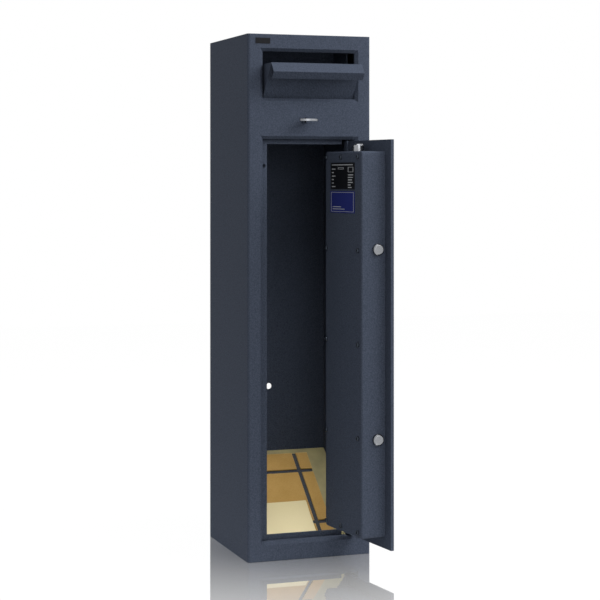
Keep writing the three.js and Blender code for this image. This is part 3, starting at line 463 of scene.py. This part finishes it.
def dress(node_name, material):
    """Gives a solid one material in place of those it has."""
    slots = frame["nodes"][node_name].data.materials
    slots.clear()
    slots.append(material)


slot_of = {part["node"]: part["material_slot"] for part in frame["record"]["subparts"]}
for node_name in frame["nodes"]:
    dress(node_name, named_finish.get(node_name, slot_finish[slot_of[node_name]]))
print("dressed", len(slot_of), "solids")

# %% [markdown]
# ## Rounded edges
#
# No real edge is sharp. Bent sheet has a round bend, powder coat pulls back into a soft
# rim, and turned steel is broken with a file. That thin rim is what catches the light and
# draws the outline of every panel. The solids are loose triangles, so each one is first
# welded by a modifier, and a Bevel modifier then rounds every edge that is sharper than
# thirty degrees. Shallow edges, such as the facets of a turned bar, are only shaded smooth.
# A last modifier weighs the normals by area, so that large flat faces are shaded flat.

# %% Round the edges of the solids
SHARP_EDGE = math.radians(30)
SAME_CORNER = 0.01 * MM
EDGE_STEPS = 2
edge_radius = {"safe_paint": 0.7 * MM, "dark_paint": 0.4 * MM, "bright_steel": 0.5 * MM,
               "plain_steel": 0.4 * MM, "zinc_plate": 0.5 * MM, "lining_board": 1.6 * MM,
               "black_plate": 0.15 * MM, "blue_plate": 0.15 * MM}


def round_edges(node_name, radius):
    """Welds a solid's triangles, rounds its sharp edges to the radius, and smooths it."""
    piece = frame["nodes"][node_name]
    smooth = np.ones(len(piece.data.polygons), dtype=bool)
    piece.data.polygons.foreach_set("use_smooth", smooth)
    weld = piece.modifiers.new("welded_corners", "WELD")
    weld.merge_threshold = SAME_CORNER
    bevel = piece.modifiers.new("rounded_edges", "BEVEL")
    bevel.width = radius
    bevel.segments = EDGE_STEPS
    bevel.limit_method = "ANGLE"
    bevel.angle_limit = SHARP_EDGE
    piece.modifiers.new("flat_faces", "WEIGHTED_NORMAL")


for node_name, slot in slot_of.items():
    if slot in edge_radius:
        round_edges(node_name, edge_radius[slot])
    if slot == "lining_board":
        # The bevels of a board take its second material, the paler sawn edge, which also paints
        # a highlight on the rims
        frame["nodes"][node_name].data.materials.append(sawn_edge_and_highlight)
        frame["nodes"][node_name].modifiers["rounded_edges"].material = 1
print("rounded", sum(slot in edge_radius for slot in slot_of.values()), "solids")

# %% [markdown]
# ## Felt landing pad
#
# Bags that fall from the drawer land on a sheet of felt, five millimetres thick, glued to
# the lower end of the ramp. Felt has no sharp edge: its sides are cut with a knife and then
# swell, so the slab crowns a little in the middle, its sides pull in between the corners,
# and its rim is round. The pad is laid out in the ramp's own directions, which come from
# turning the measured slab by the ramp's angle.

# %% Measure the slab in the directions of the ramp
# The ramp's rise over its run, the same as in the measured part
RAMP_SLOPE = 0.8
ramp_angle = math.atan(RAMP_SLOPE)
across = np.array([1.0, 0.0, 0.0])
uphill = np.array([0.0, math.cos(ramp_angle), math.sin(ramp_angle)])
off_ramp = np.array([0.0, -math.sin(ramp_angle), math.cos(ramp_angle)])


def node_points(node_name):
    """All corner points of a solid as rows of X, Y, Z."""
    mesh = frame["nodes"][node_name].data
    points = np.empty(3 * len(mesh.vertices), dtype=np.float32)
    mesh.vertices.foreach_get("co", points)
    return points.reshape(-1, 3).astype(float)


def span_along(node_name, direction):
    """Lowest and highest place of a solid along a direction."""
    places = node_points(node_name) @ direction
    return places.min(), places.max()


pad_across = span_along("landing_pad", across)
pad_uphill = span_along("landing_pad", uphill)
pad_height = span_along("landing_pad", off_ramp)
print("pad", [round((high - low) / MM, 1) for low, high in (pad_across, pad_uphill, pad_height)],
      "mm")

# %% [markdown]
# The pad and the cover are each one closed surface. Both start as a stack of rings with
# the same number of points: neighbours in a ring and in the next ring make a face, and a
# fan of triangles closes the stack at both ends.

# %% Mesh helpers


def mesh_piece(name, points, faces, material):
    """An object with a mesh of rows of X, Y, Z and lists of the corners of each face."""
    mesh = bpy.data.meshes.new(name)
    mesh.from_pydata(points.tolist(), [], faces)
    mesh.materials.append(material)
    return add_object(name, mesh)


def piece_from_rings(name, rings, first_pole, last_pole, material):
    """A closed piece from a stack of rings, one row of points each, with a pole at each end.

    Ring k's point j joins its neighbour j + 1 and the same two points of ring k + 1.
    """
    count, sides = rings.shape[:2]
    points = np.vstack([rings.reshape(-1, 3), first_pole, last_pole])
    ring = np.arange(sides)
    after = (ring + 1) % sides
    row = np.arange(count - 1)[:, None] * sides
    quads = np.stack([row + ring, row + after, row + sides + after, row + sides + ring],
                     axis=-1).reshape(-1, 4)
    top = (count - 1) * sides
    first_fan = np.stack([after, ring, np.full(sides, count * sides)], axis=-1)
    last_fan = np.stack([top + ring, top + after, np.full(sides, count * sides + 1)], axis=-1)
    faces = quads.tolist() + first_fan.tolist() + last_fan.tolist()
    piece = mesh_piece(name, points, faces, material)
    piece.data.polygons.foreach_set("use_smooth", np.ones(len(faces), dtype=bool))
    return piece


print("rings become a closed mesh")

# %% Outline of the pad
PAD_PULL = 0.7 * MM
PAD_CORNER = 3 * MM
PAD_CORNER_STEPS = 8
PAD_SIDE_POINTS = 48


def slab_outline(half_width, half_length):
    """Rounded rectangle whose sides pull in: x and y of the corner arcs and of the sides.

    Each side point moves inwards by PAD_PULL times one minus the square of its place
    along the side, so the corners stay and the middle of the side gives way most.
    """
    along = np.linspace(-1, 1, PAD_SIDE_POINTS)
    pull = PAD_PULL * (1 - along ** 2)
    flat_x = along * (half_width - PAD_CORNER)
    flat_y = along * (half_length - PAD_CORNER)
    bend = np.linspace(0, math.pi / 2, PAD_CORNER_STEPS)[1:-1]
    sides = [
        np.stack([half_width - pull, flat_y]), np.stack([-flat_x, half_length - pull]),
        np.stack([pull - half_width, -flat_y]), np.stack([flat_x, pull - half_length]),
    ]
    centres = [(1, 1), (-1, 1), (-1, -1), (1, -1)]
    rows = []
    for quarter, (side, (sign_x, sign_y)) in enumerate(zip(sides, centres)):
        angle = bend + quarter * math.pi / 2
        corner = np.stack([sign_x * (half_width - PAD_CORNER) + PAD_CORNER * np.cos(angle),
                           sign_y * (half_length - PAD_CORNER) + PAD_CORNER * np.sin(angle)])
        rows += [side, corner]
    return np.hstack(rows).T


pad_outline = slab_outline(np.ptp(pad_across) / 2, np.ptp(pad_uphill) / 2)
print("the pad's outline has", len(pad_outline), "points")

# %% The felt pad
PAD_RIM = 1.8 * MM
PAD_CROWN = 0.6 * MM
PAD_RIM_STEPS = 6
PAD_TOP_STEPS = 14
PAD_INNER_SHARE = 0.08


def felt_pad():
    """The slab: its outline shrinks towards the middle while its height follows a profile.

    Up the rim the outline moves inwards by the rim times one minus the cosine, and rises by
    the sine. Across the top it shrinks evenly to the pole while the height rises by the
    crown times one minus the square of the share of the outline that is left.
    """
    half = np.array([np.ptp(pad_across), np.ptp(pad_uphill)]) / 2
    thick = np.ptp(pad_height)
    rim = np.linspace(0, math.pi / 2, PAD_RIM_STEPS)
    inset = PAD_RIM * np.concatenate([1 - np.cos(rim[::-1]), 1 - np.cos(rim)])
    lift = np.concatenate([PAD_RIM * (1 - np.sin(rim[::-1])),
                           thick - PAD_CROWN - PAD_RIM * (1 - np.sin(rim))])
    share = np.linspace(1, PAD_INNER_SHARE, PAD_TOP_STEPS)[1:]
    bottom = share[::-1]
    shrink = np.concatenate([bottom, np.ones(len(inset)), share])
    inset = np.concatenate([np.full(len(bottom), PAD_RIM), inset, np.full(len(share), PAD_RIM)])
    lift = np.concatenate([np.zeros(len(bottom)), lift,
                           thick - PAD_CROWN + PAD_CROWN * (1 - share ** 2)])
    scale = shrink[:, None] * (1 - inset[:, None] / half)
    flat = pad_outline[None, :, :] * scale[:, None, :]
    middle = np.array([np.mean(pad_across), np.mean(pad_uphill)])
    rings = ((flat[..., 0:1] + middle[0]) * across + (flat[..., 1:2] + middle[1]) * uphill
             + (lift[:, None, None] + pad_height[0]) * off_ramp)
    centre = middle[0] * across + middle[1] * uphill
    poles = [centre + (pad_height[0] + rise) * off_ramp for rise in (0, thick)]
    return piece_from_rings("felt_landing_pad", rings, *poles, felt)


landing_pad = felt_pad()
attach(landing_pad, "cabinet")
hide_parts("landing_pad")
print(landing_pad.name, len(landing_pad.data.polygons), "faces")

# %% [markdown]
# ## Folded cover of the bolt work
#
# The bolts are housed under a deep cover, folded from one sheet two millimetres thick and
# screwed to brackets on the door plate. A press brake can't fold a sharp corner: the sheet
# bends round a radius of about four millimetres, and that soft edge catches a line of
# light all round the cover. A bevel on the flat lid could only be as wide as its sheet, so
# the whole cover is made again here as one surface: a rounded outline carried along the
# profile of the fold, once outside and once inside.

# %% Directions of the open door
to_right = np.array([-math.cos(door_angle), -math.sin(door_angle), 0.0])
upwards = np.array([0.0, 0.0, 1.0])
off_cover = np.array([-math.sin(door_angle), math.cos(door_angle), 0.0])
door_axes = np.stack([to_right, upwards, off_cover])


def door_box(*node_names):
    """Low and high corner of some solids, measured to the right, upwards and off the door."""
    spans = np.array([[span_along(name, direction) for direction in door_axes]
                      for name in node_names])
    return spans[:, :, 0].min(axis=0), spans[:, :, 1].max(axis=0)


cover_low, cover_high = door_box("bolt_box", "bolt_box_cover")
cover_size = cover_high - cover_low
print("cover", [round(value / MM, 1) for value in cover_size], "mm")

# %% Outline of the cover
OUTLINE_CORNER = 7 * MM
CORNER_STEPS = 7
SIDE_STEPS = 12


def rounded_outline(half_width, half_height):
    """Points and outward directions of a rectangle with round corners, anticlockwise."""
    turn = np.linspace(0, math.pi / 2, CORNER_STEPS)
    along = np.linspace(-1, 1, SIDE_STEPS + 2)[1:-1]
    flat_w = half_width - OUTLINE_CORNER
    flat_h = half_height - OUTLINE_CORNER
    points = []
    outward = []
    for quarter, (sign_x, sign_y) in enumerate([(1, 1), (-1, 1), (-1, -1), (1, -1)]):
        angle = turn + quarter * math.pi / 2
        arc = np.stack([np.cos(angle), np.sin(angle)], axis=1)
        side_out = np.round(np.array([math.cos(quarter * math.pi / 2),
                                      math.sin(quarter * math.pi / 2)]))
        side_run = np.array([-side_out[1], side_out[0]])
        reach = side_out * [half_width, half_height]
        length = np.abs(side_run) @ [flat_w, flat_h]
        side = reach + along[:, None] * length * side_run
        points += [side, [sign_x * flat_w, sign_y * flat_h] + OUTLINE_CORNER * arc]
        outward += [np.repeat(side_out[None], len(along), axis=0), arc]
    return np.vstack(points), np.vstack(outward)


cover_outline, cover_outward = rounded_outline(cover_size[0] / 2, cover_size[1] / 2)
print("the cover's outline has", len(cover_outline), "points")

# %% The folded cover
SHEET = 2 * MM
FOLD_RADIUS = 4.2 * MM
FOLD_STEPS = 7
FACE_SHARES = np.array([0.35, 0.7, 0.95])


def folded_cover():
    """The fold: straight up the side, a quarter circle, then across to the middle.

    At a turn t of the quarter circle of radius r the sheet is r (1 - cos t) inside the
    outline and r (1 - sin t) below the face. The inner surface has the same middle of
    curvature and a radius smaller by the sheet, and is walked in the other direction.
    """
    turn = np.linspace(0, math.pi / 2, FOLD_STEPS)
    profile = []
    for radius in (FOLD_RADIUS - SHEET, FOLD_RADIUS):
        inset = FOLD_RADIUS - radius * np.cos(turn)
        height = cover_size[2] - FOLD_RADIUS + radius * np.sin(turn)
        foot = [[FOLD_RADIUS - radius, 0.0]]
        rise = np.vstack([foot, np.stack([inset, height], axis=1)])
        profile.append(rise)
    inner, outer = profile
    walk = np.concatenate([inner[::-1], outer])
    flat = cover_outline[None] - cover_outward[None] * walk[:, 0, None, None]
    height = walk[:, 1]
    inner_face = FACE_SHARES[:, None, None] * flat[0][None]
    outer_face = FACE_SHARES[::-1, None, None] * flat[-1][None]
    flat = np.concatenate([inner_face, flat, outer_face])
    height = np.concatenate([np.full(len(FACE_SHARES), height[0]), height,
                             np.full(len(FACE_SHARES), height[-1])])
    middle = (cover_low + cover_high) / 2
    local = np.concatenate([flat + middle[:2],
                            np.broadcast_to(height[:, None, None], flat.shape[:2] + (1,))
                            + cover_low[2]], axis=2)
    poles = [np.array([middle[0], middle[1], cover_low[2] + height[k]]) @ door_axes
             for k in (0, -1)]
    return piece_from_rings("folded_bolt_cover", local @ door_axes, *poles, safe_coat)


bolt_cover = folded_cover()
print(bolt_cover.name, len(bolt_cover.data.polygons), "faces")

# %% [markdown]
# The bolts slide through round holes in the cover's side and top, punched a little wider
# than the bolts. A Boolean modifier with a round bar does the same to the mesh, and its
# result is kept as the cover's own mesh, because the bars are deleted afterwards.

# %% Cut the bolt holes
BOLT_CLEARANCE = 0.2 * MM
CUTTER_SIDES = 48
CUT_REACH = 10 * MM


def hole_cutter(node_name, axis_row, past):
    """A round bar a little wider than a bolt, along one of the door's directions."""
    low, high = door_box(node_name)
    others = [row for row in range(3) if row != axis_row]
    middle = (low + high) / 2
    radius = (high - low)[others].min() / 2 + BOLT_CLEARANCE
    angle = np.linspace(0, 2 * math.pi, CUTTER_SIDES, endpoint=False)
    ring = np.zeros((2, CUTTER_SIDES, 3))
    ring[..., others[0]] = middle[others[0]] + radius * np.cos(angle)
    ring[..., others[1]] = middle[others[1]] + radius * np.sin(angle)
    ring[..., axis_row] = np.array(past)[:, None]
    poles = np.zeros((2, 3))
    poles[:, others] = middle[others]
    poles[:, axis_row] = past
    return piece_from_rings(f"{node_name}_cutter", ring @ door_axes, *(poles @ door_axes),
                            safe_coat)


def cut_holes(piece, cutters):
    """Subtracts the cutters, keeps the cut mesh with its sharp edges, and deletes them."""
    for cutter in cutters:
        difference = piece.modifiers.new(cutter.name, "BOOLEAN")
        difference.operation = "DIFFERENCE"
        difference.solver = "EXACT"
        difference.object = cutter
    cut = piece.evaluated_get(bpy.context.evaluated_depsgraph_get())
    mesh = bpy.data.meshes.new_from_object(cut)
    piece.modifiers.clear()
    piece.data = mesh
    for cutter in cutters:
        bpy.data.objects.remove(cutter)
    mesh.set_sharp_from_angle(angle=SHARP_EDGE)


side_reach = (cover_high[0] - CUT_REACH, cover_high[0] + CUT_REACH)
top_reach = (cover_high[1] - CUT_REACH, cover_high[1] + CUT_REACH)
cut_holes(bolt_cover, [hole_cutter("side_bolt_upper", 0, side_reach),
                       hole_cutter("side_bolt_lower", 0, side_reach),
                       hole_cutter("top_bolt", 1, top_reach)])
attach(bolt_cover, "door")
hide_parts("bolt_box", "bolt_box_cover")
print("bolt holes cut;", len(bolt_cover.data.polygons), "faces")

# %% [markdown]
# ## Rules on the label plates
#
# A stock plate is printed with a thin ink that stands a few hundredths of a millimetre
# above it. The rules are laid out as shares of the plate, in its own directions: to the
# right across the open door, and up. Each rule is a low bar, and all the bars of a plate
# are one mesh, made at once from the eight corners of a unit cube.

# %% Bars on a plate
INK_LIFT = 0.08 * MM


def ruled_bars(name, node_name, bars):
    """Low bars on a plate; a bar is its left, right, lower and upper edge as shares.

    A corner is the plate's lower left corner plus the share of its width to the right,
    the share of its height upwards, and either nothing or the ink's lift off the face.
    """
    plate_low, plate_high = door_box(node_name)
    low = np.array([plate_low[0], plate_low[1], plate_high[2]])
    size = np.array([*(plate_high - plate_low)[:2], INK_LIFT])
    bars = np.array(bars, dtype=float)
    pick = np.array([[0, 0, 0], [1, 0, 0], [1, 1, 0], [0, 1, 0],
                     [0, 0, 1], [1, 0, 1], [1, 1, 1], [0, 1, 1]])
    shares = np.stack([bars[:, :2][:, pick[:, 0]], bars[:, 2:][:, pick[:, 1]],
                       np.broadcast_to(pick[:, 2], (len(bars), 8))], axis=-1)
    points = (low + shares * size) @ door_axes
    faces = np.array([[3, 2, 1, 0], [4, 5, 6, 7], [0, 1, 5, 4], [1, 2, 6, 5],
                      [2, 3, 7, 6], [3, 0, 4, 7]])
    all_faces = (np.arange(len(bars))[:, None, None] * 8 + faces).reshape(-1, 4)
    piece = mesh_piece(name, points.reshape(-1, 3), all_faces.tolist(), silver_ink)
    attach(piece, "door")
    return piece


def border_bars(left, right, low, high, width, height):
    """Four bars round a rectangle, each as thick as the width or height share."""
    return [(left, right, high - height, high), (left, right, low, low + height),
            (left, left + width, low + height, high - height),
            (right - width, right, low + height, high - height)]


rating_low, rating_high = door_box("rating_plate")
print("rating plate", [round(value / MM, 1) for value in rating_high - rating_low], "mm")

# %% The rules on the two plates
FIELD_LEFT = 0.05
COLUMN_LEFT = 0.73
RULE_HEIGHT = 0.035
field_heights = np.linspace(0.74, 0.08, 6)
field_ends = (0.2, 0.13, 0.2, 0.13, 0.13, 0.2)
column_heights = np.linspace(0.52, 0.05, 6)
column_ends = (0.95, 0.93, 0.9, 0.93, 0.84, 0.88)
rating_bars = [(FIELD_LEFT, 0.93, 0.9, 0.93)]
rating_bars += [(FIELD_LEFT, end, z, z + RULE_HEIGHT)
                for z, end in zip(field_heights, field_ends)]
rating_bars += [(COLUMN_LEFT, end, z, z + RULE_HEIGHT)
                for z, end in zip(column_heights, column_ends)]
rating_bars += border_bars(0.31, 0.55, 0.75, 0.82, 0.02, 0.014)
rating_bars += border_bars(COLUMN_LEFT, 0.95, 0.64, 0.83, 0.02, 0.014)
rating_rules = ruled_bars("rating_plate_rules", "rating_plate", rating_bars)
notice_bars = border_bars(0.035, 0.965, 0.05, 0.95, 0.012, 0.016)
notice_bars += [(0.1, 0.6, 0.16, 0.19), (0.1, 0.45, 0.26, 0.29)]
notice_rules = ruled_bars("notice_plate_rules", "notice_plate", notice_bars)
print(rating_rules.name, len(rating_bars), "bars;", notice_rules.name, len(notice_bars), "bars")

# %% [markdown]
# ## Floor and light
#
# The floor is a polished pale studio floor. It is white to the camera, keeps the soft
# shadow of the safe, and mirrors the safe most strongly close to it, as a floor does whose
# polish is fresh only round the exhibit. The sky is white to the camera and in reflections,
# and dimmer where it lights the safe, so that soft lamps give the safe its form.

# %% Polished floor
# The mirror's share falls from MIRROR_SHARE to nothing between the two distances, and
# FLOOR_GLOW is what a viewer sees of the floor beyond the light of the lamps
FLOOR_HALF = 6.0
MIRROR_NEAR = 0.0
MIRROR_FAR = 1.25
MIRROR_SHARE = 1.02
FLOOR_GLOW = 0.91


def seen_ray(tree):
    """One for a ray that a viewer sees: from the camera, a reflection or through glass."""
    path = add_node(tree, "ShaderNodeLightPath")
    shiny = add_node(tree, "ShaderNodeMath",
                     {0: path.outputs["Is Camera Ray"], 1: path.outputs["Is Glossy Ray"]},
                     operation="MAXIMUM")
    return add_node(tree, "ShaderNodeMath",
                    {0: shiny.outputs["Value"], 1: path.outputs["Is Transmission Ray"]},
                    operation="MAXIMUM").outputs["Value"]


def polished_floor():
    """A square sheet at Z 0 whose mirror share falls off with distance from the safe."""
    material, tree = new_material("polished_pale_floor")
    coords = add_node(tree, "ShaderNodeTexCoord")
    reach = add_node(tree, "ShaderNodeVectorMath",
                     {0: coords.outputs["Object"]}, operation="LENGTH")
    share = add_node(tree, "ShaderNodeMapRange",
                     {"Value": reach.outputs["Value"], "From Min": MIRROR_NEAR,
                      "From Max": MIRROR_FAR, "To Min": MIRROR_SHARE, "To Max": 0.0})
    matt = add_node(tree, "ShaderNodeBsdfDiffuse", {"Color": linear("#6c6c6c")})
    seen_glow = add_node(tree, "ShaderNodeMath", {0: seen_ray(tree), 1: FLOOR_GLOW},
                         operation="MULTIPLY")
    glow = add_node(tree, "ShaderNodeEmission", {"Strength": seen_glow.outputs["Value"]})
    pale = add_node(tree, "ShaderNodeAddShader",
                    {0: matt.outputs["BSDF"], 1: glow.outputs["Emission"]})
    mirror = add_node(tree, "ShaderNodeBsdfGlossy",
                      {"Color": linear("#ffffff"), "Roughness": 0.02})
    mixed = add_node(tree, "ShaderNodeMixShader",
                     {"Fac": share.outputs["Result"], 1: pale.outputs["Shader"],
                      2: mirror.outputs["BSDF"]})
    add_node(tree, "ShaderNodeOutputMaterial", {"Surface": mixed.outputs["Shader"]})
    corners = FLOOR_HALF * np.array([[-1, -1, 0], [1, -1, 0], [1, 1, 0], [-1, 1, 0]])
    return mesh_piece("studio_floor", corners, [(0, 1, 2, 3)], material)


floor = polished_floor()
print(floor.name)

# %% Sky
SKY_LIGHT = 0.55


def white_sky():
    """White where the camera or a reflection looks at it, and SKY_LIGHT for soft light."""
    world = bpy.data.worlds.new("white_sky")
    bpy.context.scene.world = world
    world.use_nodes = True
    tree = world.node_tree
    tree.nodes.clear()
    strength = add_node(tree, "ShaderNodeMapRange",
                        {"Value": seen_ray(tree), "To Min": SKY_LIGHT, "To Max": 1.0})
    light = add_node(tree, "ShaderNodeBackground",
                     {"Color": linear("#ffffff"), "Strength": strength.outputs["Result"]})
    add_node(tree, "ShaderNodeOutputWorld", {"Surface": light.outputs["Background"]})
    return world


sky = white_sky()
print(sky.name)

# %% [markdown]
# ## Lamps
#
# Four large softboxes stand round the safe, each given by the direction it shines from. A
# fifth, small and with a narrow beam, hangs under the roof of the compartment behind the
# door's place and shines straight down on the ramp, so the boards are as bright as the
# front and the back wall stays in shade.

# %% Lamps
# Each softbox: degrees to the right of the front, degrees above the floor, and watts. It
# stands LAMP_REACH from the middle of the safe, and lights a face there with
# watts / (pi * LAMP_REACH ** 2).
MID_HEIGHT = 0.6
LAMP_REACH = 2.6
LAMP_SIDE = 1.3
SOFTBOXES = {
    "front_fill_softbox": (0, 10, 10),
    "top_softbox": (0, 85, 10.5),
    "front_key_softbox": (20, 35, 10),
    "right_key_softbox": (50, 35, 32),
}
RAMP_LAMP_PLACE = (0.03, -0.02, 0.93)
RAMP_LAMP_AIM = (0.03, -0.02, 0.0)
RAMP_LAMP_SIDE = 0.2
RAMP_LAMP_SPREAD = math.radians(40)
RAMP_LAMP_POWER = 0.33


def soft_lamp(name, place, aim, side, power, spread=math.pi):
    """A square lamp that looks from its place towards the aim."""
    data = bpy.data.lights.new(name, "AREA")
    data.size = side
    data.energy = power
    data.spread = spread
    lamp = add_object(name, data)
    lamp.location = place
    lamp.rotation_euler = (Vector(aim) - Vector(place)).to_track_quat("-Z", "Y").to_euler()
    lamp.visible_camera = False
    return lamp


def softbox(name, to_the_right, height, power):
    """A square softbox on a sphere round the middle of the safe, aimed at the middle."""
    turn = math.radians(to_the_right)
    rise = math.radians(height)
    place = (LAMP_REACH * math.cos(rise) * math.sin(turn),
             -LAMP_REACH * math.cos(rise) * math.cos(turn),
             MID_HEIGHT + LAMP_REACH * math.sin(rise))
    return soft_lamp(name, place, (0, 0, MID_HEIGHT), LAMP_SIDE, power)


lamps = [softbox(name, *facts) for name, facts in SOFTBOXES.items()]
lamps.append(soft_lamp("ramp_lamp", RAMP_LAMP_PLACE, RAMP_LAMP_AIM, RAMP_LAMP_SIDE,
                       RAMP_LAMP_POWER, RAMP_LAMP_SPREAD))
bpy.context.scene.view_settings.view_transform = "Standard"
print("lit by", sky.name, "and", len(lamps), "lamps")
